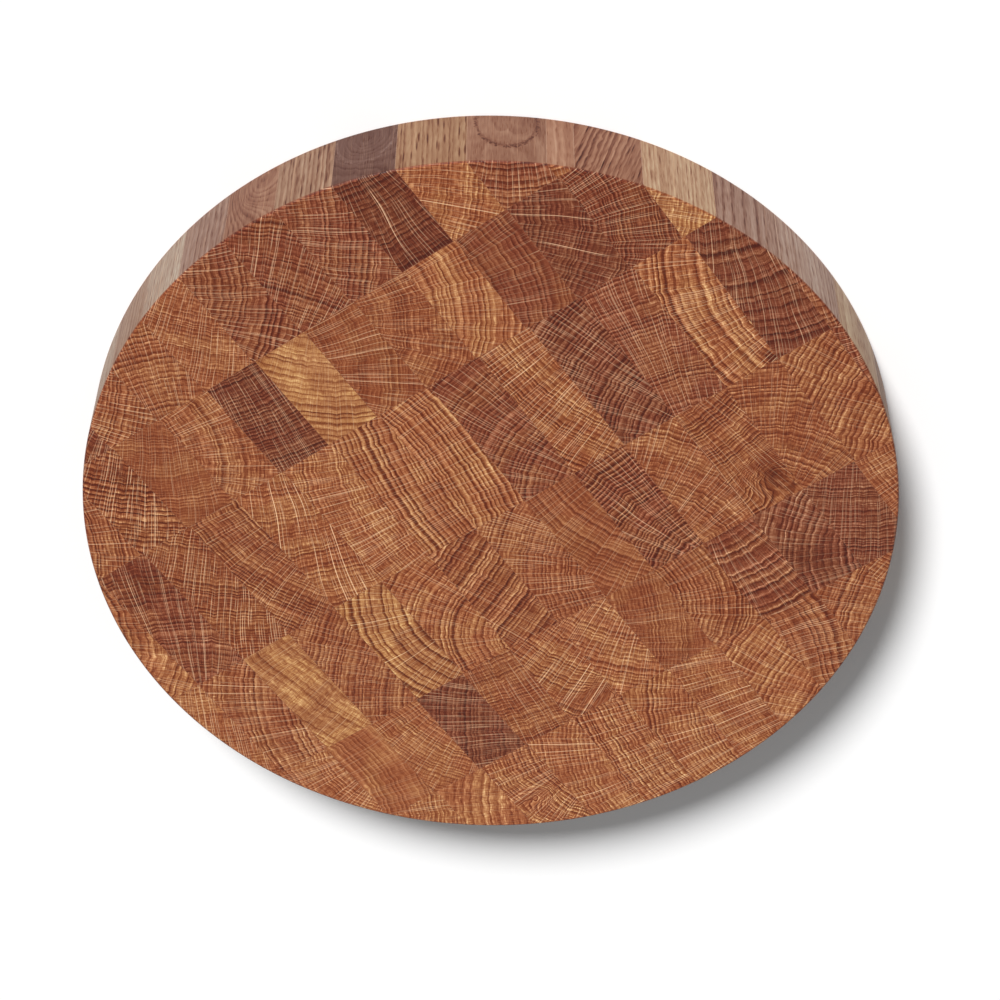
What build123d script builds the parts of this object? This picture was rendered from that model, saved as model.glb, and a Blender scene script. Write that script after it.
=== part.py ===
"""Round end-grain chopping block.

Short oak blocks stand on end in six straight rows, so that their end grain is the cutting face.
They are glued into a panel, the panel is cut to a disc, and the edge of the disc is eased.
The disc lies flat: +Z is up, the origin is the middle of the underside, the rows run along X,
and row 1 is the one furthest along +Y. Lengths are in millimetres.
"""

from build123d import *

import math
import os

# The board as it is sold
board_diameter = 360
board_thickness = 40
rim_easing = 1.2  # width taken off the sharp edge at 45 degrees, at the face and at the underside

# What it is glued up from
block_width = 26  # along the row, the same in every row
glue_film = 0.12  # adhesive that is left between two neighbours
row_2_depth = 52.2  # along Y, set by how each strip of blocks was sawn
row_3_depth = 72.8
row_4_depth = 64.0
row_5_depth = 50.8
trim_allowance = 5  # rows 1 and 6 stand out this far past the disc until it is cut
least_offcut = 4  # an end piece narrower than this isn't cut loose from its neighbour

# Where the first joint to the right of the middle lies in each row, as a share of the pitch
first_joint_shares = (0.633, 0.666, 0.715, 0.707, 0.678, 0.721)

# Blocks on each side of the block in the middle of a row: the inner ones have a file each, and
# the ones beyond them, which the rim trims, share a file
inner_blocks_per_side = (2, 4, 5, 5, 4, 2)
end_blocks_per_side = (3, 2, 2, 2, 2, 3)

# The full circle's own seam is turned away from the glue lines
seam_angle = 20

board_radius = board_diameter / 2
pitch = block_width + glue_film


def stacked(start, depths):
    """Low and high edge of each strip, from the strip that begins at start and outwards."""
    edges = []
    for depth in depths:
        edges.append((start, start + depth))
        start += depth + glue_film
    return edges


# Rows 3 and 4 meet on the X axis, and the others follow outwards on each side
panel_reach = board_radius + trim_allowance
back_inner = stacked(glue_film / 2, (row_3_depth, row_2_depth))
front_inner = stacked(glue_film / 2, (row_4_depth, row_5_depth))
back_outer = (back_inner[-1][1] + glue_film, panel_reach)
front_outer = (front_inner[-1][1] + glue_film, panel_reach)
back_strips = [back_outer] + back_inner[::-1]
front_strips = [(-high, -low) for low, high in front_inner + [front_outer]]
strips = back_strips + front_strips


def joints_of(strip, first_joint_share):
    """Places along X of the glue joints in a row, left to right, where the row is longest."""
    nearest_the_middle = min(abs(strip[0]), abs(strip[1]))
    half_length = math.sqrt(board_radius**2 - nearest_the_middle**2)
    first = first_joint_share * pitch
    count = math.ceil(board_radius / pitch) + 1
    places = [first + step * pitch for step in range(-count, count)]
    return [x for x in places if abs(x) < half_length - least_offcut]


def upright(x_low, x_high, y_low, y_high):
    """A straight-sided piece of the panel, as thick as the board."""
    corner = Pos(x_low, y_low, 0)
    sides = (x_high - x_low, y_high - y_low, board_thickness)
    return corner * Box(*sides, align=(Align.MIN, Align.MIN, Align.MIN))


def eased_disc():
    """The space that the finished board fills, with both edges of its rim eased."""
    disc = Cylinder(board_radius, board_thickness, align=(Align.CENTER, Align.CENTER, Align.MIN))
    disc = chamfer(disc.edges().filter_by(GeomType.CIRCLE), rim_easing)
    return Rot(0, 0, seam_angle) * disc


def cut_from(disc, pieces):
    """The solids that stay of some pieces of the panel once the disc is cut."""
    kept = []
    for piece in pieces:
        kept += (piece & disc).solids()
    return kept


def blocks_of(strip, joints):
    """The uncut blocks of a row, left to right."""
    ends = [-panel_reach - glue_film / 2] + joints + [panel_reach + glue_film / 2]
    blocks = []
    for left, right in zip(ends, ends[1:]):
        blocks.append(upright(left + glue_film / 2, right - glue_film / 2, *strip))
    return blocks


def film_in_row(strip, x):
    """The adhesive between two blocks of a row."""
    return upright(x - glue_film / 2, x + glue_film / 2, *strip)


def write(name, solids):
    """One file holds the solids of one node, each of them a separate piece."""
    shape = solids[0] if len(solids) == 1 else Compound(children=solids)
    export_step(shape, os.path.join("parts", name + ".step"))


os.makedirs("parts", exist_ok=True)
disc = eased_disc()
row_joints = [joints_of(strip, share) for strip, share in zip(strips, first_joint_shares)]

# Blocks: they are told apart by how many steps they lie from the middle one, left to right, so a
# block keeps its name when a size changes
for row, (strip, joints) in enumerate(zip(strips, row_joints), 1):
    inner = inner_blocks_per_side[row - 1]
    middle_number = end_blocks_per_side[row - 1] + inner + 1
    joints_left_of_middle = len([x for x in joints if x < 0])
    end_blocks = []
    for place, block in enumerate(cut_from(disc, blocks_of(strip, joints))):
        steps = place - joints_left_of_middle
        if abs(steps) <= inner:
            write(f"row_{row}_block_{middle_number + steps:02d}", [block])
        else:
            end_blocks.append(block)
    write(f"row_{row}_end_blocks", end_blocks)

# Adhesive: a film across every joint in a row, and a long one between each row and the next
films = []
for strip, joints in zip(strips, row_joints):
    films += cut_from(disc, [film_in_row(strip, x) for x in joints])
write("glue_between_blocks", films)
long_films = []
for upper, lower in zip(strips, strips[1:]):
    long_films.append(upright(-panel_reach, panel_reach, lower[1], upper[0]))
write("glue_between_rows", cut_from(disc, long_films))
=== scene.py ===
import math

import bpy
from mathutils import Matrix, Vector


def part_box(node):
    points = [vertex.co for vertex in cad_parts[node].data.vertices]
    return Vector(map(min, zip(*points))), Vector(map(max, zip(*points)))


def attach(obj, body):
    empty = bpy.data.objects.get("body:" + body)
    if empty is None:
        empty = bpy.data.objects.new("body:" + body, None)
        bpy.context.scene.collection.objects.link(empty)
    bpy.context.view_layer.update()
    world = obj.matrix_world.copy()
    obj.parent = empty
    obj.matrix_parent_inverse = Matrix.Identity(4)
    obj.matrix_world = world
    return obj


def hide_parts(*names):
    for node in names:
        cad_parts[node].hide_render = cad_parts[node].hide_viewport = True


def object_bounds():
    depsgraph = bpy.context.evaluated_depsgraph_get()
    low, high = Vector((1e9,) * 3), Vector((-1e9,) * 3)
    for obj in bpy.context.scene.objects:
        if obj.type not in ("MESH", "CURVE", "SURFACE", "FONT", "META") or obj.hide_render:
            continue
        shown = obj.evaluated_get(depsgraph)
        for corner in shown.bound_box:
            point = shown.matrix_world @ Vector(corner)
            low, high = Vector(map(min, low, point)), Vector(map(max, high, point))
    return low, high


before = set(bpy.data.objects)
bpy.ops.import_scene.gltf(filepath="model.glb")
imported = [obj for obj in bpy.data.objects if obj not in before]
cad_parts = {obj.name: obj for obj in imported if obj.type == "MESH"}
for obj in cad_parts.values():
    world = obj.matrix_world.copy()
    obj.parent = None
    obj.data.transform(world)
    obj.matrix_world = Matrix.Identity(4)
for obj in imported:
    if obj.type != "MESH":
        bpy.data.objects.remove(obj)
cad_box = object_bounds()


# The photographer's stand: a camera above the near edge of the board, held so that the near edge is at the
# top of the picture, a broad soft lamp high behind the camera's left, and a white table.
camera_place = (0.4423, 0.6153, 1.0935)
camera_turn_degrees = (-35.327, 0.379, -34.867)
lens_mm = 105.7
sensor_mm = 36

camera = bpy.data.objects.new("camera", bpy.data.cameras.new("camera"))
camera.data.lens = lens_mm
camera.data.sensor_width = sensor_mm
camera.location = camera_place
camera.rotation_euler = [math.radians(degrees) for degrees in camera_turn_degrees]
bpy.context.scene.collection.objects.link(camera)
bpy.context.scene.camera = camera
bpy.context.scene.view_settings.view_transform = "Standard"

# The lamp's way and softness follow from the main part of the shadow in the photograph
lamp_direction = (0.27, 0.98, 0.72)
lamp_softness_degrees = 16
lamp_strength = 4.35
room_brightness = 0.23
white = (1, 1, 1, 1)

lamp = bpy.data.objects.new("softbox", bpy.data.lights.new("softbox", "SUN"))
lamp.data.energy = lamp_strength
lamp.data.angle = math.radians(lamp_softness_degrees)
lamp.location = lamp_direction
lamp.rotation_euler = Vector(lamp_direction).to_track_quat("Z", "Y").to_euler()
bpy.context.scene.collection.objects.link(lamp)


class Wire:
    """An output of a node. Plain arithmetic on it adds Math nodes to its tree."""

    def __init__(self, tree, socket):
        self.tree = tree
        self.socket = socket

    def __add__(self, other):
        return maths(self.tree, "ADD", self, other)

    def __sub__(self, other):
        return maths(self.tree, "SUBTRACT", self, other)

    def __rsub__(self, other):
        return maths(self.tree, "SUBTRACT", other, self)

    def __mul__(self, other):
        return maths(self.tree, "MULTIPLY", self, other)

    def __truediv__(self, other):
        return maths(self.tree, "DIVIDE", self, other)

    def __rtruediv__(self, other):
        return maths(self.tree, "DIVIDE", other, self)


def feed(tree, socket, value):
    """Joins an output to a socket, or writes a plain value on it."""
    if isinstance(value, Wire):
        tree.links.new(value.socket, socket)
    else:
        socket.default_value = value


def add_node(tree, kind, feeds=None, **settings):
    """A node of this kind, with its settings, and its inputs fed by their name or number."""
    node = tree.nodes.new(kind)
    for name, value in settings.items():
        setattr(node, name, value)
    for name, value in (feeds or {}).items():
        feed(tree, node.inputs[name], value)
    return node


def result_of(tree, kind, feeds=None, **settings):
    """The first output of a new node."""
    return Wire(tree, add_node(tree, kind, feeds, **settings).outputs[0])


def maths(tree, operation, *values):
    """The result of a Math node, whose values are outputs of nodes or plain numbers."""
    return result_of(tree, "ShaderNodeMath", dict(enumerate(values)), operation=operation)


def background_rays(tree):
    """1 for a ray that shows the background: one from the camera, in a gloss or through glass."""
    path = add_node(tree, "ShaderNodeLightPath").outputs
    either = Wire(tree, path["Is Camera Ray"])
    for kind in ("Is Glossy Ray", "Is Transmission Ray"):
        either = maths(tree, "MAXIMUM", either, Wire(tree, path[kind]))
    return either


room = bpy.data.worlds.new("room")
room.use_nodes = True
bpy.context.scene.world = room
room_tree = room.node_tree
shown = room_tree.nodes["Background"]
shown.inputs["Color"].default_value = white
lit = result_of(room_tree, "ShaderNodeBackground", {"Color": white, "Strength": room_brightness})
seen_or_lit = {0: background_rays(room_tree), 1: lit, 2: Wire(room_tree, shown.outputs[0])}
choice = result_of(room_tree, "ShaderNodeMixShader", seen_or_lit)
feed(room_tree, room_tree.nodes["World Output"].inputs["Surface"], choice)

table_reach = 12
corners = [(-table_reach, -table_reach, 0), (table_reach, -table_reach, 0)]
corners += [(table_reach, table_reach, 0), (-table_reach, table_reach, 0)]
table = bpy.data.objects.new("table_top", bpy.data.meshes.new("table_top"))
table.data.from_pydata(corners, [], [(0, 1, 2, 3)])
table.data.materials.append(bpy.data.materials.new("white_table"))
table.data.materials[0].use_nodes = True
table_finish = table.data.materials[0].node_tree
table_finish.nodes.remove(table_finish.nodes["Principled BSDF"])
matt = result_of(table_finish, "ShaderNodeBsdfDiffuse", {"Color": white})
feed(table_finish, table_finish.nodes["Material Output"].inputs["Surface"], matt)
bpy.context.scene.collection.objects.link(table)


# Oak blocks: short lengths of oak stood on end, so that the cut ends of the fibres are the cutting face.
# They were glued up in six rows, the panel was cut to a disc, and the disc's edge was eased and oiled.
underside, face = cad_box[0].z, cad_box[1].z
board_radius = cad_box[1].x
rim_easing = 0.0012
rim_steps = 360
easing_steps = 5
saw_overrun = 0.01

# What the wood of a block is like, in threes of numbers that ride on its mesh. The grain reads all but the
# last, which is the colour of its rim.
grain_traits = ("pith", "lay", "rings", "rays", "knot", "tone", "stain", "figure", "loop", "lean")
traits = grain_traits + ("rim_colour",)


def vector_of(tree, x, y, z):
    """Three values as one vector."""
    return result_of(tree, "ShaderNodeCombineXYZ", {"X": x, "Y": y, "Z": z})


def parts_of(tree, vector):
    """The X, Y and Z of a vector."""
    node = add_node(tree, "ShaderNodeSeparateXYZ", {0: vector})
    return [Wire(tree, output) for output in node.outputs]


def add_input(tree, name, kind="NodeSocketFloat"):
    """A named input of a tree or a group. Gives the identifier that a modifier knows it by."""
    return tree.interface.new_socket(name, in_out="INPUT", socket_type=kind).identifier


def named(tree, outputs):
    """A node's outputs by name."""
    return {output.name: Wire(tree, output) for output in outputs if output.name}


def eased_disc(tree, given):
    """The whole board: a cylinder whose side is cut into rings, which are moved to the rounded edges."""
    rings = given["easing_steps"] * 2 + 1
    sizes = {"Vertices": given["steps"], "Side Segments": rings}
    sizes.update({"Radius": given["radius"], "Depth": given["thickness"]})
    cylinder = named(tree, add_node(tree, "GeometryNodeMeshCylinder", sizes, fill_type="NGON").outputs)
    note = {"Geometry": cylinder["Mesh"], "Name": "is_rim", "Value": cylinder["Side"]}
    marked = result_of(tree, "GeometryNodeStoreNamedAttribute", note, data_type="BOOLEAN", domain="FACE")
    x, y, z = parts_of(tree, result_of(tree, "GeometryNodeInputPosition"))
    height_share = z / given["thickness"] + 0.5
    ring = maths(tree, "ROUND", height_share * rings)
    from_edge = maths(tree, "MINIMUM", ring, rings - ring)
    turn = from_edge / given["easing_steps"] * (math.pi / 2)
    inset = given["easing"] * (1 - maths(tree, "SINE", turn))
    rise = given["easing"] * (1 - maths(tree, "COSINE", turn))
    reach = (given["radius"] - inset) / given["radius"]
    is_upper = maths(tree, "GREATER_THAN", height_share, 0.5)
    heights = {0: is_upper, 2: rise, 3: given["thickness"] - rise}
    height = result_of(tree, "ShaderNodeMix", heights, data_type="FLOAT")
    place = vector_of(tree, x * reach, y * reach, height)
    return result_of(tree, "GeometryNodeSetPosition", {"Geometry": marked, "Position": place})


def box_between(tree, low_corner, high_corner):
    """A box from one corner to the other."""
    size = result_of(tree, "ShaderNodeVectorMath", {0: high_corner, 1: low_corner}, operation="SUBTRACT")
    half_way = {0: size, 1: (0.5, 0.5, 0.5), 2: low_corner}
    middle = result_of(tree, "ShaderNodeVectorMath", half_way, operation="MULTIPLY_ADD")
    box = result_of(tree, "GeometryNodeMeshCube", {"Size": size})
    return result_of(tree, "GeometryNodeTransform", {"Geometry": box, "Translation": middle})


def block_tree():
    """The Geometry Nodes that saw one block out of the eased disc and note what its wood is like."""
    tree = bpy.data.node_groups.new("block_of_the_board", "GeometryNodeTree")
    vectors = ("low_corner", "high_corner") + traits
    ids = {name: add_input(tree, name) for name in ("radius", "thickness", "easing", "steps", "easing_steps")}
    ids.update({name: add_input(tree, name, "NodeSocketVector") for name in vectors})
    ids["finish"] = add_input(tree, "finish", "NodeSocketMaterial")
    tree.interface.new_socket("block", in_out="OUTPUT", socket_type="NodeSocketGeometry")
    given = named(tree, add_node(tree, "NodeGroupInput").outputs)

    # The saw leaves what lies both in the disc and between the block's two corners
    saw_cut = add_node(tree, "GeometryNodeMeshBoolean", operation="INTERSECT", solver="EXACT")
    feed(tree, saw_cut.inputs["Mesh 2"], eased_disc(tree, given))
    feed(tree, saw_cut.inputs["Mesh 2"], box_between(tree, given["low_corner"], given["high_corner"]))
    block = Wire(tree, saw_cut.outputs["Mesh"])
    is_rim = add_node(tree, "GeometryNodeInputNamedAttribute", {"Name": "is_rim"}, data_type="BOOLEAN")
    smooth = {"Geometry": block, "Shade Smooth": Wire(tree, is_rim.outputs["Attribute"])}
    block = result_of(tree, "GeometryNodeSetShadeSmooth", smooth)
    note_on_points = {"data_type": "FLOAT_VECTOR", "domain": "POINT"}
    for name in traits:
        note = {"Geometry": block, "Name": name, "Value": given[name]}
        block = result_of(tree, "GeometryNodeStoreNamedAttribute", note, **note_on_points)
    block = result_of(tree, "GeometryNodeRealizeInstances", {0: block})
    block = result_of(tree, "GeometryNodeSetMaterial", {"Geometry": block, "Material": given["finish"]})
    add_node(tree, "NodeGroupOutput", {"block": block})
    return tree, ids


def noise(tree, vector, scale=1.0, detail=0.0, output="Fac"):
    """A value of a Noise Texture, which lies about 0.5."""
    node = add_node(tree, "ShaderNodeTexNoise", {"Vector": vector, "Scale": scale, "Detail": detail})
    return Wire(tree, node.outputs[output])


# Most values of a noise lie between these
noise_span = (0.3, 0.7)


def noise_along(tree, place, scale, detail=1.0):
    """A noise value that changes along a line."""
    feeds = {"W": place, "Scale": scale, "Detail": detail}
    return result_of(tree, "ShaderNodeTexNoise", feeds, noise_dimensions="1D")


def about_zero(value):
    """A noise value moved to lie about zero."""
    return value - 0.5


def step_between(tree, value, low, high, from_value=0.0, to_value=1.0):
    """Turns smoothly from one value to the other while the input goes from low to high."""
    feeds = dict(enumerate((value, low, high, from_value, to_value)))
    return result_of(tree, "ShaderNodeMapRange", feeds, interpolation_type="SMOOTHSTEP")


def falling_off(tree, far_squared, reach_squared):
    """1 at a place, and less the further off it is."""
    return maths(tree, "EXPONENT", far_squared / reach_squared * -1)


def spots(tree, place, scale, inner, outer):
    """1 in the middle of the spots that lie scattered about, and 0 between them."""
    cells = result_of(tree, "ShaderNodeTexVoronoi", {"Vector": place, "Scale": scale})
    return step_between(tree, cells, inner, outer, 1, 0)


def ray_lines(tree, across, nearness, along, seed, spacing, half_width, soft_edge, run):
    """Thin lines that run out from the pith: how strongly each shows, and how far off the nearest one is.
    A ray starts where the stem has grown wide enough for it, so they don't crowd near the pith."""
    places = {"W": across / spacing + seed, "Scale": 1}
    cells = named(tree, add_node(tree, "ShaderNodeTexVoronoi", places, voronoi_dimensions="1D").outputs)
    off = cells["Distance"] * spacing * nearness
    line = step_between(tree, off, half_width, half_width + soft_edge, 1, 0)
    chance = parts_of(tree, cells["Color"])
    has_room = step_between(tree, nearness - chance[2], *room_for_ray)
    place = vector_of(tree, chance[1] * ray_places, along / run, seed)
    present = step_between(tree, noise(tree, place), *ray_comes)
    strength = step_between(tree, chance[0], 0.0, 1.0, faintest_ray, 1.0)
    return line * present * strength * has_room, cells["Distance"]


# The grain is worked out in millimetres
mm_per_metre = 1000
rim_mm = board_radius * mm_per_metre
face_mm = face * mm_per_metre

# Over what length each change in the wood comes and goes
sway_length = 40
blotch_length = 13
good_years_length = 9
band_length = 7
ripple_length = 6
cloud_length = 4
bend_length = 2.5

# Rays: how far apart they lie round the block's middle, how thick they are, and how far one runs
fine_rays = {"spacing": 1.1, "half_width": 0.04, "soft_edge": 0.15, "run": 13}
bold_rays = {"spacing": 5.0, "half_width": 0.07, "soft_edge": 0.16, "run": 34}
fine_ray_gain = 1.5
bold_ray_gain = 1.3
faintest_ray = 0.25

# A ray comes and goes where its noise is between the first two, and starts where the stem has room for it.
# Each ray reads its noise at a place of its own. Down the rim it changes faster than along its run.
ray_comes = (0.36, 0.56)
room_for_ray = (-0.05, 0.15)
ray_places = 90
ray_change_down = 1.4

# Growth rings: how uneven their widths are, and how ragged. The dark line is this many millimetres wide and
# a share of the ring more, and the paler late wood comes and goes at these shares of a ring. Both are weaker
# in dry years than in wet ones.
ring_unevenness = 1.6
ring_raggedness = 0.02
dark_line_width = 0.35
dark_line_share = 0.14
faintest_line = 0.45
darkest_ring = 0.72
dry_years = 0.6
wet_years = 1.2
late_wood_comes = (0.6, 0.8)
late_wood_goes = (0.85, 1.0)

# What pushes the rings out of round: a knot, the wobble down the rim, which is full this far below the face,
# the scallops between bold rays, and the ripple of a wavy stem
knot_push = 1.6
wobble_push = 0.8
wobble_full_at = 4
scallop_push = 4
ripple_push = 0.18

# How much the courses and files of the fibres, the bands of rings and the blotches show
course_gain = 1.9
file_gain = 2.2
band_gain = 1.4
blotch_gain = 2

# Pores and their strokes, as spots per millimetre
pore_scale = 1.35
stroke_scale = 0.75

# A loop on the rim: the height of its middle, how far it reaches, how that is drawn in sideways and let out
# upwards, how far it fades in from the rim, and where its dark line lies and how far that strays
loop_height = 6
loop_reach = 16
loop_drawn_in = 1.6
loop_let_out = 0.6
loop_fade = (12, 3)
loop_line_at = 0.36
loop_line_strays = 0.14

# A stain reaches further along Y, and a knot along X. The last stands in for the reach of one that a block
# doesn't have.
stain_y_share = 0.7
knot_x_share = 0.6
knot_raggedness = (6, 5)
least_reach_squared = 0.01


def loop_on_rim(tree, x, y, z, seed, loop_place):
    """Where a branch once grew, the rim shows the rings as a loop that hangs from the underside. Gives the
    way round the rim, how strongly the loop bends the rings, and the crumbly dark line round it."""
    round_rim = maths(tree, "ARCTAN2", y, x) * rim_mm
    aside = round_rim - loop_place
    above = z - loop_height
    far_squared = aside * aside * loop_drawn_in + above * above * loop_let_out
    bend = falling_off(tree, far_squared, loop_reach ** 2)
    from_centre = maths(tree, "SQRT", x * x + y * y)
    bend = bend * step_between(tree, from_centre, rim_mm - loop_fade[0], rim_mm - loop_fade[1])
    crumbs = noise(tree, vector_of(tree, round_rim, z * 0.7, seed), 0.9, 1.0)
    off_line = maths(tree, "ABSOLUTE", bend - (about_zero(crumbs) * loop_line_strays + loop_line_at))
    line = step_between(tree, off_line, 0.02, 0.07, 1, 0)
    line = line * step_between(tree, crumbs, 0.35, 0.55, 1.2, 0.3)
    return round_rim, bend, line


def growth_rings(tree, ring_out, round_way, out, seed, gap, waviness):
    """Each ring starts with a dark porous line and ends in denser, paler wood. Years of little rain and of
    much come in runs, so the lines are strong in some bands and faint in others. Gives how far through its
    year the wood is, and how strong the dark and the pale line are."""
    count = ring_out / gap
    uneven = noise_along(tree, count + seed, 0.35)
    ragged = noise(tree, vector_of(tree, round_way, out, seed), 0.9, 1.0)
    count = count + uneven * ring_unevenness + ragged * waviness * ring_raggedness
    number = maths(tree, "FLOOR", count)
    way = count - number
    luck = result_of(tree, "ShaderNodeTexWhiteNoise", {"W": number + seed}, noise_dimensions="1D")
    good_years = noise_along(tree, ring_out + seed * 17, 1 / good_years_length, 0.0)
    vigour = step_between(tree, good_years, *noise_span, dry_years, wet_years)
    width = dark_line_width / gap + dark_line_share
    start = step_between(tree, way, 0.0, 0.07)
    tail = step_between(tree, way, width * 0.3, width * 2.1, 1, 0)
    bold = step_between(tree, luck, 0.0, 1.0, faintest_line, 1.0)
    late = step_between(tree, way, *late_wood_comes) * step_between(tree, way, *late_wood_goes, 1, 0)
    return way, start * tail * bold * vigour, late * vigour


def grain_group():
    """The wood of one tree stem in the round, so that it reads right on the face and down the rim.
    Rings go round the pith, rays run out from it, and the pores of each ring run up through the block."""
    tree = bpy.data.node_groups.new("oak_grain", "ShaderNodeTree")
    for name in ("place",) + grain_traits:
        add_input(tree, name, "NodeSocketVector")
    inputs = named(tree, add_node(tree, "NodeGroupInput").outputs)
    given = {name: parts_of(tree, wire) for name, wire in inputs.items()}
    x, y, z = given["place"]
    pith_x, pith_y, pith_off = given["pith"]
    out_x, out_y, seed = given["lay"]
    gap, ring_strength, waviness = given["rings"]
    fine_strength, bold_strength, pale_strength = given["rays"]
    knot_x, knot_y, knot_reach = given["knot"]
    shade_shift, blotchiness, banding = given["tone"]
    stain_x, stain_y, stain_reach = given["stain"]
    scallop, coarseness, stain_depth = given["figure"]
    loop_place, loop_size, loop_depth = given["loop"]
    lean_x, lean_y = given["lean"][:2]

    # The stem isn't straight: its grain sways over a few centimetres, and in some blocks it leans. Each
    # noise is read at a place of its own, which the seed sets.
    here = vector_of(tree, x + seed * 37, y, z * 0.3)
    sway = parts_of(tree, noise(tree, here, 1 / sway_length, 1.0, "Color"))
    sunk = face_mm - z
    swayed_x = x + about_zero(sway[0]) * waviness + sunk * lean_x
    swayed_y = y + about_zero(sway[1]) * waviness + sunk * lean_y

    # Distance out from the pith, and the way round it, measured at the block's middle
    from_x = swayed_x - pith_x
    from_y = swayed_y - pith_y
    ahead = from_x * out_x + from_y * out_y
    aside = from_y * out_x - from_x * out_y
    out = maths(tree, "SQRT", ahead * ahead + aside * aside)
    round_way = maths(tree, "ARCTAN2", aside, ahead) * pith_off
    nearness = out / pith_off

    # Rays: many fine ones and a few bold ones, each fading in and out along its way
    along = out + z * ray_change_down
    fine = ray_lines(tree, round_way, nearness, along, seed, **fine_rays)[0]
    strong, between = ray_lines(tree, round_way, nearness, along, seed + 5, **bold_rays)
    fine = fine * fine_strength * fine_ray_gain
    strong = strong * bold_strength * bold_ray_gain
    ray = maths(tree, "MINIMUM", maths(tree, "MAXIMUM", fine, strong), 1)

    # A stain or pale patch of the block's own, with a ragged edge, in which the rings fade
    cloud = noise(tree, here, 1 / cloud_length, 2.0)
    stain_dx = x - stain_x
    stain_dy = (y - stain_y) * stain_y_share
    stain_far = stain_dx * stain_dx + stain_dy * stain_dy
    stain = falling_off(tree, stain_far, stain_reach * stain_reach + least_reach_squared)
    stain = stain * step_between(tree, cloud, 0.2, 0.6, 0.4, 1.1)

    # A knot lifts the rings into loops about its own place
    knot_dx = x - knot_x + about_zero(cloud) * knot_raggedness[0]
    knot_dy = y - knot_y - about_zero(cloud) * knot_raggedness[1]
    knot_far = knot_dx * knot_dx * knot_x_share + knot_dy * knot_dy
    knot = falling_off(tree, knot_far, knot_reach * knot_reach + least_reach_squared)

    # The rings bulge about a knot, in a loop and between bold rays, they wobble down the rim, and they are
    # never quite smooth
    round_rim, loop, loop_line = loop_on_rim(tree, x, y, z, seed, loop_place)
    bent = noise(tree, vector_of(tree, round_rim * 0.3, sunk * 0.35, seed), 1 / bend_length, 1.0)
    ripple = noise(tree, vector_of(tree, round_way, out * 0.3, seed), 1 / ripple_length, 1.0)
    ring_out = out + knot * knot_reach * knot_push + loop * loop_size
    ring_out = ring_out + about_zero(bent) * step_between(tree, sunk, 0, wobble_full_at) * wobble_push
    ring_out = ring_out - between * between * scallop * scallop_push
    ring_out = ring_out + about_zero(ripple) * waviness * ripple_push

    # The fibres are laid in fine courses along the rings, and in files along the rays, which break the rings
    level = z * 0.15
    courses = noise(tree, vector_of(tree, round_way * 0.3, ring_out * 1.7, level))
    files = noise(tree, vector_of(tree, round_way * 2.0, out * 0.3, level))
    fibre = about_zero(courses) * coarseness * course_gain - about_zero(files) * coarseness * file_gain
    way, dark_line, pale_line = growth_rings(tree, ring_out, round_way, out, seed, gap, waviness)
    ring = dark_line * (1 - stain * 0.7) * step_between(tree, files, 0.3, 0.65, 1.1, 0.6) * ring_strength
    ring = maths(tree, "MINIMUM", ring, darkest_ring)

    # Pores stand upright: dots on the face, and fine upright strokes on the rim
    upright = vector_of(tree, swayed_x, swayed_y, z * 0.1)
    pore = spots(tree, upright, pore_scale, 0.14, 0.4) * step_between(tree, way, 0.1, 0.7, 1.0, 0.3)
    stroke = spots(tree, upright, stroke_scale, 0.15, 0.42) * step_between(tree, way, 0.05, 0.6, 1.0, 0.3)

    # Slow changes of tone: bands of rings, blotches, the stain and the loop's line. Patches are more golden.
    band = noise_along(tree, ring_out + seed * 11, 1 / band_length)
    blotch = noise(tree, here, 1 / blotch_length, 2.0)
    shade = shade_shift + about_zero(band) * banding * band_gain
    shade = shade + about_zero(blotch) * blotchiness * blotch_gain
    shade = shade + stain * stain_depth + loop_line * loop_depth
    patch = noise(tree, vector_of(tree, round_way * 0.05, ring_out * 0.1, seed))
    gold = step_between(tree, patch, 0.42, 0.62)

    results = {"ring": ring, "pale": pale_line * pale_strength, "ray": ray, "pore": pore}
    results.update({"stroke": stroke, "shade": shade, "fibre": fibre, "gold": gold})
    for name in results:
        tree.interface.new_socket(name, in_out="OUTPUT", socket_type="NodeSocketFloat")
    add_node(tree, "NodeGroupOutput", results)
    return tree


def paint(red, green, blue):
    """A colour as a paint chart gives it, 0 to 255 each, as the four values that a socket takes."""
    shares = [value / 255 for value in (red, green, blue)]
    return [share / 12.92 if share <= 0.04045 else ((share + 0.055) / 1.055) ** 2.4 for share in shares] + [1]


def mixed(tree, share, first, second, blend="MIX"):
    """Two colours mixed by a share."""
    feeds = {0: share, 6: first, 7: second}
    node = add_node(tree, "ShaderNodeMix", feeds, data_type="RGBA", blend_type=blend)
    return Wire(tree, node.outputs[2])


# Oiled oak that darkens loses more blue than green, and more green than red
tint_shares = (0.62, 1.0, 1.17)


def tinted(tree, colour, amount):
    """A colour made lighter or darker as wood is. The amount is the logarithm of the change in its green."""
    powers = [maths(tree, "MULTIPLY", amount, share) for share in tint_shares]
    shares = [maths(tree, "EXPONENT", power) for power in powers]
    return mixed(tree, 1, colour, vector_of(tree, *shares), "MULTIPLY")


grain = grain_group()

# How far each part of the grain lightens or darkens the wood, on the face and on the rim. A block's streaks
# set how far the last two go on its rim.
depths = {"shade": (1, 0.8), "fibre": (1, 0.22), "pore": (-0.4, -0.35), "pale": (0.9, 0.25)}
streak_depths = {"ring": (-2.6, -1.3), "stroke": (0, -1.2)}
# How much darker the eased edge is painted: painted shade where the rounding catches less light
painted_edge_shade_depth = -0.65

# Rays keep some of the wood's own colour, and show less on the rim and across the dark line of a ring
ray_colour = (252, 208, 168)
ray_colour_share = 0.3
ray_tint = 1.4
ray_on_rim = 0.15
ray_lost_in_ring = 0.55
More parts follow.
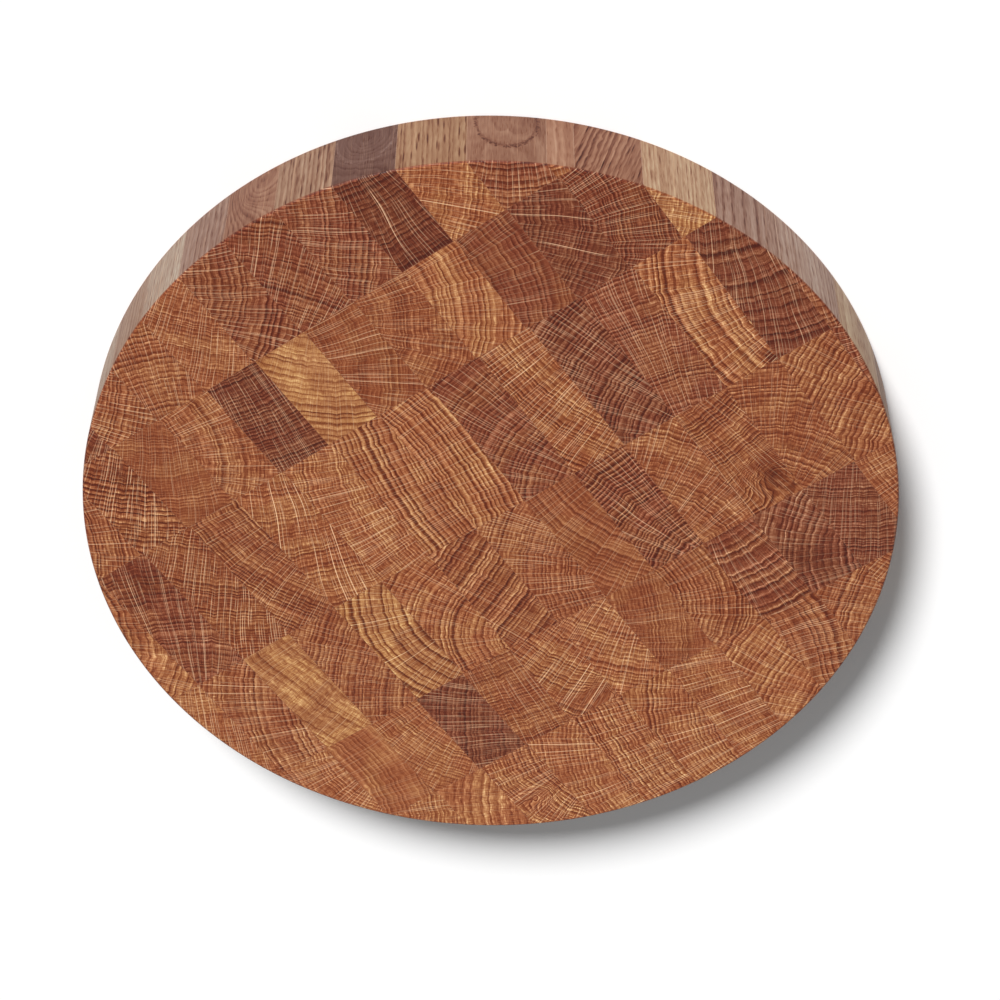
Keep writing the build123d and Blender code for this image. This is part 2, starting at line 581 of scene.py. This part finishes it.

# How upright the surface is where the rim turns into the face, and where the edge of painted shade lies
# between them
rim_to_face = (0.25, 0.85)
edge_to_face = (0.88, 0.99)
edge_to_rim = (0.5, 0.95)

oiled_gloss = 0.2
oiled_roughness = 0.5
pore_roughness = 0.2
rim_roughness = 0.1
ring_relief = 0.5
pore_relief = {"Distance": 0.0001, "Strength": 0.5}


def oak_finish(name, red, golden):
    """Oiled oak: end grain soaks up the oil and turns deep orange, and the side of the block stays straw."""
    material = bpy.data.materials.new(name)
    material.use_nodes = True
    tree = material.node_tree
    coordinates = named(tree, add_node(tree, "ShaderNodeTexCoord").outputs)
    noted = {}
    for trait in traits:
        attribute = add_node(tree, "ShaderNodeAttribute", attribute_name=trait)
        noted[trait] = Wire(tree, attribute.outputs["Vector"])
    to_mm = {0: coordinates["Object"], 1: (mm_per_metre, mm_per_metre, mm_per_metre)}
    feeds = {trait: noted[trait] for trait in grain_traits}
    feeds["place"] = result_of(tree, "ShaderNodeVectorMath", to_mm, operation="MULTIPLY")
    wood = named(tree, add_node(tree, "ShaderNodeGroup", feeds, node_tree=grain).outputs)

    # The rim shows the fibres from the side, and the rounding between it and the face gets painted shade
    facing = maths(tree, "ABSOLUTE", parts_of(tree, coordinates["Normal"])[2])
    side = step_between(tree, facing, *rim_to_face, 1, 0)
    edge = step_between(tree, facing, *edge_to_face, painted_edge_shade_depth, 0)
    depth = step_between(tree, side, *edge_to_rim, edge, 0)

    def face_to_rim(on_face, on_rim):
        """A strength that differs between the face and the rim."""
        return step_between(tree, side, 0, 1, on_face, on_rim)

    streaks = parts_of(tree, noted["lean"])[2]
    for part, (on_face, on_rim) in depths.items():
        depth = depth + wood[part] * face_to_rim(on_face, on_rim)
    for part, (on_face, on_rim) in streak_depths.items():
        depth = depth + wood[part] * face_to_rim(on_face, streaks * on_rim)
    end_grain = mixed(tree, wood["gold"], paint(*red), paint(*golden))
    body = tinted(tree, mixed(tree, side, end_grain, noted["rim_colour"]), depth)
    ray_seen = wood["ray"] * face_to_rim(1, ray_on_rim) * (1 - wood["ring"] * ray_lost_in_ring)
    ray_tone = mixed(tree, ray_colour_share, paint(*ray_colour), tinted(tree, end_grain, ray_tint))
    body = mixed(tree, ray_seen, body, ray_tone)

    # The oil gives a soft gloss, and the pores and the dark lines of the rings are a little sunk
    height = wood["pore"] * -1 - wood["ring"] * ring_relief
    surface = tree.nodes["Principled BSDF"].inputs
    surface["Specular IOR Level"].default_value = oiled_gloss
    feed(tree, surface["Base Color"], body)
    roughness = wood["pore"] * pore_roughness + side * rim_roughness + oiled_roughness
    feed(tree, surface["Roughness"], roughness)
    feed(tree, surface["Normal"], result_of(tree, "ShaderNodeBump", {"Height": height, **pore_relief}))
    return material


# The end grain's colour in each sort of oak, and the colour of its golden patches
end_grain_colours = {
    "honey_oak": ((167, 109, 68), (184, 128, 80)),
    "amber_oak": ((152, 87, 53), (163, 102, 63)),
    "tan_oak": ((142, 78, 47), (152, 91, 56)),
    "russet_oak": ((129, 67, 43), (138, 78, 49)),
    "dark_oak": ((116, 58, 37), (124, 68, 44)),
}
finishes = {name: oak_finish(name, *colours) for name, colours in end_grain_colours.items()}

# On the rim the oil soaks in less, so its colours are their own
rim_colours = {
    "bleached": (135, 114, 98),
    "greyed": (123, 95, 77),
    "mauve": (121, 94, 81),
    "brown": (118, 81, 62),
    "tan": (126, 96, 76),
    "umber": (91, 63, 54),
    "straw": (132, 99, 73),
    "pink": (137, 98, 76),
    "pale": (158, 129, 102),
    "rosy": (136, 106, 91),
    "ashen": (147, 120, 105),
}
usual_rim = {"honey": "pale", "amber": "straw", "tan": "tan", "russet": "pink", "dark": "umber"}


def stick(tone, pith_way, pith_off, gap=2.2, rings=0.7, rays=0.5, bold=0.3, wave=4, shade=0.0, rim=None,
          knot=(0, 0, 0), blotch=0.5, bands=0.5, scallop=0.3, coarse=1.0, pale=0.5, stain=(0, 0, 0, 0),
          loop=(0, 0, 0), lean=(0, 0), streaks=1.0):
    """The wood of one block. The pith's way, in degrees, and how far off it is are from the block's middle,
    and gap is the width of a ring. A knot has its place and reach. A stain has its place from the block's
    middle, its reach and its depth. A loop has its way round the rim in degrees, its size and how dark its
    line is. A lean is how far the grain shifts for each step down. Rim is the colour of the block's rim, and
    streaks is how strong the ring lines and pores are on it. The other numbers are strengths."""
    return dict(tone=tone + "_oak", pith_way=pith_way, pith_off=pith_off, gap=gap, rings=rings, rays=rays,
                bold=bold, wave=wave, shade=shade, rim=rim or usual_rim[tone], knot=knot,
                blotch=blotch, bands=bands, scallop=scallop, coarse=coarse, pale=pale, stain=stain,
                loop=loop, lean=lean, streaks=streaks)


# The blocks of each row from -X to +X. Their wood is set after the photograph.
sticks = {
    1: [
        stick("russet", 0, 60, shade=-0.32, rim="mauve", streaks=0.9),
        stick("tan", 135, 110, rays=0.6, shade=-0.05, rim="bleached", streaks=0.6),
        stick("tan", -110, 90, 2.4, rays=0.4, bold=0.5, rim="greyed", streaks=0.6),
        stick("tan", 42, 130, 1.8, rings=0.4, shade=0.06, rim="bleached", streaks=0.6),
        stick("russet", 138, 80, 2.6, rings=0.9, bold=0.5, wave=8, shade=-0.07, rim="mauve", streaks=0.7),
        stick("russet", -140, 120, bold=0.6, shade=-0.1, rim="brown", streaks=0.7, loop=(88, 18, -0.2)),
        stick("russet", 145, 140, rings=0.8, bold=0.5, rim="tan", streaks=1.5),
        stick("dark", 85, 70, 2.6, rings=0.8, rays=0.4, bold=0.9, wave=8, shade=-0.45, streaks=0.5,
              loop=(72, 22, 0.6)),
        stick("amber", 140, 110, rings=0.4, rays=0.35, bold=0.7, shade=-0.14, streaks=1.7),
        stick("russet", 47, 50, 2.5, rings=1.0, rays=0.4, bold=0.5, shade=0.1, rim="brown", streaks=0.3,
              loop=(53, 5, -1.8)),
        stick("tan", 90, 60, rim="pink", streaks=0.4),
    ],
    2: [
        stick("tan", 153, 60, 1.8, rings=1.0, rays=0.6, shade=0.15, rim="pink", streaks=0.9),
        stick("tan", 47, 120, 2.5, rings=1.6, rays=0.8, blotch=0.8, coarse=1.3, shade=-0.05,
              stain=(7, 12, 8, -0.8), streaks=1.4),
        stick("tan", 57, 180, 1.6, rings=0.35, rays=0.25, wave=7, coarse=0.6, shade=-0.14),
        stick("tan", 155, 55, 2.0, rings=0.5, bold=0.5, shade=0.05),
        stick("dark", 80, 160, 1.9, rings=1.0, bold=0.2, shade=-0.1),
        stick("honey", 50, 90, 2.8, rings=0.9, rays=0.2, bold=0.1, wave=3, blotch=0.7, coarse=0.6, pale=0.2,
              stain=(8, 12, 15, 0.15)),
        stick("tan", 152, 65, 1.8, rings=0.35, rays=0.4, bold=0.6, coarse=0.6, shade=-0.22),
        stick("tan", 142, 50, 1.9, rings=0.45, rays=0.3, bold=0.4, shade=-0.09),
        stick("amber", 155, 60, 2.4, rings=0.85, rays=0.3, wave=2.5, coarse=0.7, shade=0.12),
        stick("russet", 170, 80, 2.4, rings=0.6, rays=0.25, bold=0.4, coarse=0.6, shade=-0.12),
        stick("dark", 135, 80, rings=0.8, rays=0.25, bold=0.7, shade=-0.12),
        stick("russet", 165, 60, 1.5, rings=0.8, bold=0.2, shade=-0.24, streaks=1.6, lean=(-0.15, 0.18)),
        stick("honey", 145, 140, 2.0, rings=0.4, rays=0.4, shade=-0.06, streaks=0.8),
    ],
    3: [
        stick("amber", 145, 60, 4.0, rays=0.3, wave=9, blotch=1.2, shade=-0.13, stain=(0, -17, 4, 0.8)),
        stick("russet", -118, 110, 2.5, rings=0.8, rays=0.4, bold=0.6, blotch=1.0, shade=-0.05,
              stain=(0, 27, 11, -0.9), rim="brown", streaks=1.2, loop=(170, 14, -0.3)),
        stick("tan", 50, 150, 2.0, rings=0.65, rays=0.6, bold=0.4, shade=-0.28),
        stick("tan", 15, 110, 2.0, rings=0.9, rays=0.4, bold=0.1, shade=-0.11),
        stick("amber", 67, 130, rings=0.5, rays=0.4, bold=1.0, wave=6, shade=-0.18),
        stick("amber", -12, 120, 1.7, rings=0.55, bold=0.6),
        stick("amber", -8, 200, 2.4, rings=1.5, rays=0.4, bold=0.35, wave=2.5, bands=0.3, coarse=0.7,
              shade=0.13),
        stick("amber", 176, 160, 2.3, rings=1.4, rays=0.4, wave=3, bands=0.3, coarse=0.7, shade=0.24),
        stick("russet", -67, 65, 2.3, rings=0.9, rays=0.45, shade=-0.1),
        stick("amber", 15, 140, 2.0, rings=0.85, rays=0.6, bold=0.6, shade=-0.14),
        stick("dark", -65, 75, rings=1.5, rays=0.45, bold=0.5, blotch=1.2, shade=0.21),
        stick("russet", -105, 95, 2.0, rays=0.4, bold=0.4, shade=0.1),
        stick("amber", -10, 90, 3.0, rings=1.0, bold=0.4, wave=6, pale=0.9, shade=-0.08,
              stain=(11.5, -34.5, 2.6, -3)),
        stick("dark", 70, 90, 4.5, rings=0.9, rays=0.3, bold=0.6, wave=9, shade=-0.08, rim="rosy",
              streaks=1.2),
        stick("russet", 75, 130, 3.0, rays=0.4, rim="ashen", streaks=0.8),
    ],
    4: [
        stick("amber", 62, 180, 2.0, rings=0.3, bold=0.4, shade=-0.15, rim="pink", streaks=0.8),
        stick("tan", -27, 95, 2.4, rings=0.8, rays=0.3, bold=0.8, blotch=0.8, shade=0.06,
              stain=(-6, 12, 6, -0.3)),
        stick("honey", 12, 180, 3.6, rings=0.4, rays=0.15, wave=8, coarse=0.8, pale=0.2, shade=-0.13),
        stick("tan", -45, 130, 2.1, rings=0.75, rays=0.35, bold=0.2),
        stick("honey", -6, 50, 3.4, rings=1.3, rays=0.3, bold=0.8, wave=5, coarse=0.8, shade=-0.25),
        stick("amber", -50, 40, 2.4, rings=0.9, rays=0.35, bold=0.4),
        stick("tan", 115, 200, 2.3, rings=1.3, rays=0.2, bold=0.4, blotch=0.6, bands=2.0),
        stick("tan", -38, 65, 2.0, rays=0.45, bold=0.5),
        stick("tan", 20, 100, rings=0.5, rays=0.25, coarse=0.6, shade=-0.11),
        stick("russet", -76, 60, 2.1, rings=1.4, bold=0.6, wave=6, pale=0.9, shade=-0.1),
        stick("tan", -152, 80, 2.0, rings=0.65, rays=0.4, bold=0.5),
        stick("tan", 98, 110, 2.0, rings=1.0, rays=0.35, bold=0.4, shade=-0.05, stain=(6, -17, 5, -1.6),
              knot=(116, -49, 10)),
        stick("tan", -132, 60, 2.1, rings=0.65, rays=0.25, bold=0.2, shade=-0.05),
        stick("tan", -55, 140, 2.5, rings=1.0, rays=0.2, shade=0.08),
        stick("russet", 0, 60, rings=0.4, shade=-0.15, rim="pale", streaks=0.6),
    ],
    5: [
        stick("amber", 8, 60, 2.0, rings=0.5, bold=0.4, rim="tan", streaks=0.9),
        stick("amber", 175, 110, 2.6, rings=0.35, rays=0.2, bold=0.1, coarse=0.5, shade=-0.08, streaks=1.3),
        stick("amber", 20, 75, 2.0, rings=0.6, rays=0.35, bold=0.2, coarse=0.8, shade=-0.05),
        stick("dark", -35, 150, rings=0.75, bold=0.4, blotch=0.9, shade=-0.12),
        stick("tan", 80, 150, 2.0, rings=0.55, rays=0.35, bold=0.2, shade=-0.1),
        stick("amber", 26, 180, 2.0, rings=0.75, rays=0.4, bold=0.9, shade=-0.16, stain=(6, -20, 4, -0.5),
              knot=(-14, -109, 6)),
        stick("amber", 38, 95, 2.3, rings=0.65, rays=0.4, bold=0.6, stain=(-10, -23, 3, 0.6)),
        stick("tan", 152, 180, 1.7, rings=0.35, rays=0.2, bold=0.4, coarse=0.7, shade=-0.18),
        stick("tan", 155, 45, 2.0, rings=0.85, rays=0.3, bold=0.4),
        stick("russet", 88, 60, 4.6, rings=0.9, rays=0.3, bold=0.7, scallop=0.6, pale=1.2, shade=-0.24),
        stick("dark", -38, 57, 3.2, rings=1.1, rays=0.3, bold=0.4, wave=5, pale=0.9, shade=0.19,
              stain=(-5, -8, 10, -0.9)),
        stick("dark", 56, 200, 1.8, rings=0.75, rays=0.3, bold=0.5, shade=0.15, streaks=0.8,
              loop=(-33, 18, 0.3)),
        stick("tan", 8, 180, 2.0, rings=0.5, rays=0.4, shade=0.05, rim="rosy", streaks=1.3),
    ],
    6: [
        stick("amber", 130, 80, 2.0, rings=0.5, rim="brown", streaks=1.2),
        stick("amber", -25, 82, 4.4, rings=0.5, rays=0.15, bold=0.1, shade=0.08, streaks=0.7),
        stick("amber", 12, 60, 1.8, rings=0.9, bold=0.2, coarse=1.4, knot=(-73, -145, 5), rim="tan",
              streaks=1.4),
        stick("amber", -17, 80, 2.0, rings=0.6, rays=0.35, bold=0.9, rim="pink", streaks=0.8),
        stick("amber", -7, 200, 1.9, rings=1.1, coarse=1.3, rim="mauve", loop=(-95, 20, 0.4)),
        stick("amber", -18, 75, 2.1, rings=0.8, rays=0.35, bold=1.0, shade=-0.05, stain=(-10, 29, 4, -0.5),
              streaks=1.5),
        stick("amber", -10, 140, 1.7, rings=0.3, rays=0.4, bold=0.9, shade=-0.27, rim="rosy", streaks=0.7),
        stick("amber", -60, 90, 2.4, rays=0.3, bold=0.5, wave=7, rim="tan", streaks=1.2,
              loop=(-70, 16, -0.5)),
        stick("tan", 165, 200, 3.6, rings=0.8, rays=0.6, bold=0.5, wave=8, shade=-0.07, rim="brown",
              streaks=1.5),
        stick("tan", -42, 180, rays=0.4, bold=0.4, rim="pale", streaks=0.9),
        stick("tan", 50, 80, 2.0, rings=0.6, rays=0.4, rim="pink", streaks=1.2),
    ],
}

# Where the blocks lie: the frame gives the inner ones, and the others follow at the same pitch
one_block, next_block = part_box("row_3_block_06"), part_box("row_3_block_07")
pitch = next_block[0].x - one_block[0].x
block_width = next_block[1].x - next_block[0].x
beyond = board_radius + saw_overrun


def block_corners(row, number):
    """The low and the high corner of a block before the disc is cut. The outer ones reach past the rim."""
    inner = sorted(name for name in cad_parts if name.startswith(f"row_{row}_block_"))
    first_low, first_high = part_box(inner[0])
    low_x = first_low.x + (number - int(inner[0][-2:])) * pitch
    high_x = low_x + block_width
    low_x = -beyond if number == 1 else low_x
    high_x = beyond if number == len(sticks[row]) else high_x
    low_y = -beyond if row == len(sticks) else first_low.y
    high_y = beyond if row == 1 else first_high.y
    return (low_x, low_y, underside - saw_overrun), (high_x, high_y, face + saw_overrun)


def face_middle(low, high):
    """The middle of what the face shows of a block, in millimetres."""
    ends = (low[0], high[0], low[1], high[1])
    held = [max(-board_radius, min(board_radius, end)) * mm_per_metre for end in ends]
    return (held[0] + held[1]) / 2, (held[2] + held[3]) / 2


# Where each side of a block lies on its bake map: low and high U, low and high V. Most of the map is the
# face, and the hidden glued sides have a corner of it.
map_places = {
    "face": (0.01, 0.61, 0.01, 0.99),
    "underside": (0.63, 0.99, 0.56, 0.99),
    "rim": (0.63, 0.99, 0.1, 0.54),
    "glue_low_x": (0.63, 0.71, 0.01, 0.08),
    "glue_high_x": (0.72, 0.8, 0.01, 0.08),
    "glue_low_y": (0.81, 0.89, 0.01, 0.08),
    "glue_high_y": (0.9, 0.98, 0.01, 0.08),
}
least_upright = 0.7


def sides_of(mesh):
    """The polygons of a block, each with the side it is on, as map_places names them."""
    on_rim = [flag.value for flag in mesh.attributes["is_rim"].data]
    for polygon in mesh.polygons:
        normal = polygon.normal
        if on_rim[polygon.index]:
            side = "rim"
        elif abs(normal.z) > least_upright:
            side = "face" if normal.z > 0 else "underside"
        elif abs(normal.x) > abs(normal.y):
            side = "glue_high_x" if normal.x > 0 else "glue_low_x"
        else:
            side = "glue_high_y" if normal.y > 0 else "glue_low_y"
        yield polygon, side


def sharpen_sawn_edges(mesh):
    """Ends the rim's smooth shading at the glued sides."""
    for polygon, side in sides_of(mesh):
        if side.startswith("glue"):
            for loop in polygon.loop_indices:
                mesh.edges[mesh.loops[loop].edge_index].use_edge_sharp = True


def unrolled(side, point):
    """A point's two distances along its side."""
    if side in ("face", "underside"):
        return point.x, point.y
    if side == "rim":
        inset = board_radius - math.hypot(point.x, point.y)
        above = point.z > (face + underside) / 2
        return math.atan2(point.y, point.x) * board_radius, point.z + (inset if above else -inset)
    return (point.y if side.endswith("x") else point.x), point.z


def lay_out_map(mesh):
    """Gives a block its bake map."""
    corners_on = {}
    for polygon, side in sides_of(mesh):
        for loop in polygon.loop_indices:
            point = mesh.vertices[mesh.loops[loop].vertex_index].co
            corners_on.setdefault(side, []).append((loop, *unrolled(side, point)))
    layer = mesh.uv_layers.new(name="OFBake")
    for side, members in corners_on.items():
        low_u, high_u, low_v, high_v = map_places[side]
        loops, across, up = zip(*members)
        if side == "rim" and max(across) - min(across) > board_radius:
            across = [distance % (2 * math.pi * board_radius) for distance in across]
        for loop, u, v in zip(loops, across, up):
            u_share = (u - min(across)) / (max(across) - min(across))
            v_share = (v - min(up)) / (max(up) - min(up))
            layer.data[loop].uv = (low_u + (high_u - low_u) * u_share, low_v + (high_v - low_v) * v_share)


# Each block's wood is cut from another part of the noise
seed_per_row = 20
seed_per_block = 1.7


def wood_notes(row, number, wood, middle_x, middle_y):
    """What is noted on a block's mesh of its wood, trait by trait."""
    way = math.radians(wood["pith_way"])
    pith_x = middle_x + wood["pith_off"] * math.cos(way)
    pith_y = middle_y + wood["pith_off"] * math.sin(way)
    stain_x, stain_y, stain_reach, stain_depth = wood["stain"]
    loop_degrees, loop_size, loop_depth = wood["loop"]
    return {
        "pith": (pith_x, pith_y, wood["pith_off"]),
        "lay": (-math.cos(way), -math.sin(way), row * seed_per_row + number * seed_per_block),
        "rings": (wood["gap"], wood["rings"], wood["wave"]),
        "rays": (wood["rays"], wood["bold"], wood["pale"]),
        "knot": wood["knot"],
        "tone": (wood["shade"], wood["blotch"], wood["bands"]),
        "stain": (middle_x + stain_x, middle_y + stain_y, stain_reach),
        "figure": (wood["scallop"], wood["coarse"], stain_depth),
        "loop": (math.radians(loop_degrees) * rim_mm, loop_size, loop_depth),
        "lean": wood["lean"] + (wood["streaks"],),
        "rim_colour": paint(*rim_colours[wood["rim"]])[:3],
    }


saw, saw_inputs = block_tree()


def sawn_block(row, number, wood):
    """One block, sawn by the Geometry Nodes and made a plain mesh."""
    low, high = block_corners(row, number)
    values = {
        "radius": board_radius,
        "thickness": face - underside,
        "easing": rim_easing,
        "steps": float(rim_steps),
        "easing_steps": float(easing_steps),
        "low_corner": low,
        "high_corner": high,
        "finish": finishes[wood["tone"]],
    }
    values.update(wood_notes(row, number, wood, *face_middle(low, high)))
    block = bpy.data.objects.new(f"oak_block_{row}_{number:02d}", bpy.data.meshes.new("blank"))
    bpy.context.scene.collection.objects.link(block)
    cut = block.modifiers.new("cut", "NODES")
    cut.node_group = saw
    for name, value in values.items():
        cut[saw_inputs[name]] = value
    bpy.context.view_layer.update()
    mesh = bpy.data.meshes.new_from_object(block.evaluated_get(bpy.context.evaluated_depsgraph_get()))
    block.modifiers.remove(cut)
    block.data = mesh
    mesh.name = block.name
    sharpen_sawn_edges(mesh)
    lay_out_map(mesh)
    mesh.attributes.remove(mesh.attributes["is_rim"])
    return block


for row, row_sticks in sticks.items():
    for number, wood in enumerate(row_sticks, 1):
        block = sawn_block(row, number, wood)
        node = f"row_{row}_block_{number:02d}"
        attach(block, "root")
        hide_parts(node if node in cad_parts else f"row_{row}_end_blocks")


# Adhesive: cured waterproof wood glue, left as a hair-thin brown film in every joint of the panel.
# The films are the model's own solids, and only get their finish here.
glue_red = (96, 52, 30)
glue_golden = (140, 84, 54)
glue_on_rim = (146, 112, 88)
glue_rim_to_face = (0.4, 0.8)
glue_patches_per_metre = 120
glue_roughness = (0.35, 0.5)

glue_finish = bpy.data.materials.new("cured_glue")
glue_finish.use_nodes = True
glue_tree = glue_finish.node_tree
glue_place = named(glue_tree, add_node(glue_tree, "ShaderNodeTexCoord").outputs)["Object"]
patchy = noise(glue_tree, glue_place, glue_patches_per_metre, 2.0)
flat_normal = named(glue_tree, add_node(glue_tree, "ShaderNodeNewGeometry").outputs)["True Normal"]
glue_facing = maths(glue_tree, "ABSOLUTE", parts_of(glue_tree, flat_normal)[2])
on_face = step_between(glue_tree, glue_facing, *glue_rim_to_face)
glue_colour = mixed(glue_tree, patchy, paint(*glue_red), paint(*glue_golden))
glue_colour = mixed(glue_tree, on_face, paint(*glue_on_rim), glue_colour)
glue_surface = glue_tree.nodes["Principled BSDF"].inputs
feed(glue_tree, glue_surface["Base Color"], glue_colour)
feed(glue_tree, glue_surface["Normal"], flat_normal)
feed(glue_tree, glue_surface["Roughness"], step_between(glue_tree, patchy, *noise_span, *glue_roughness))
for node in ("glue_between_blocks", "glue_between_rows"):
    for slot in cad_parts[node].material_slots:
        slot.material = glue_finish
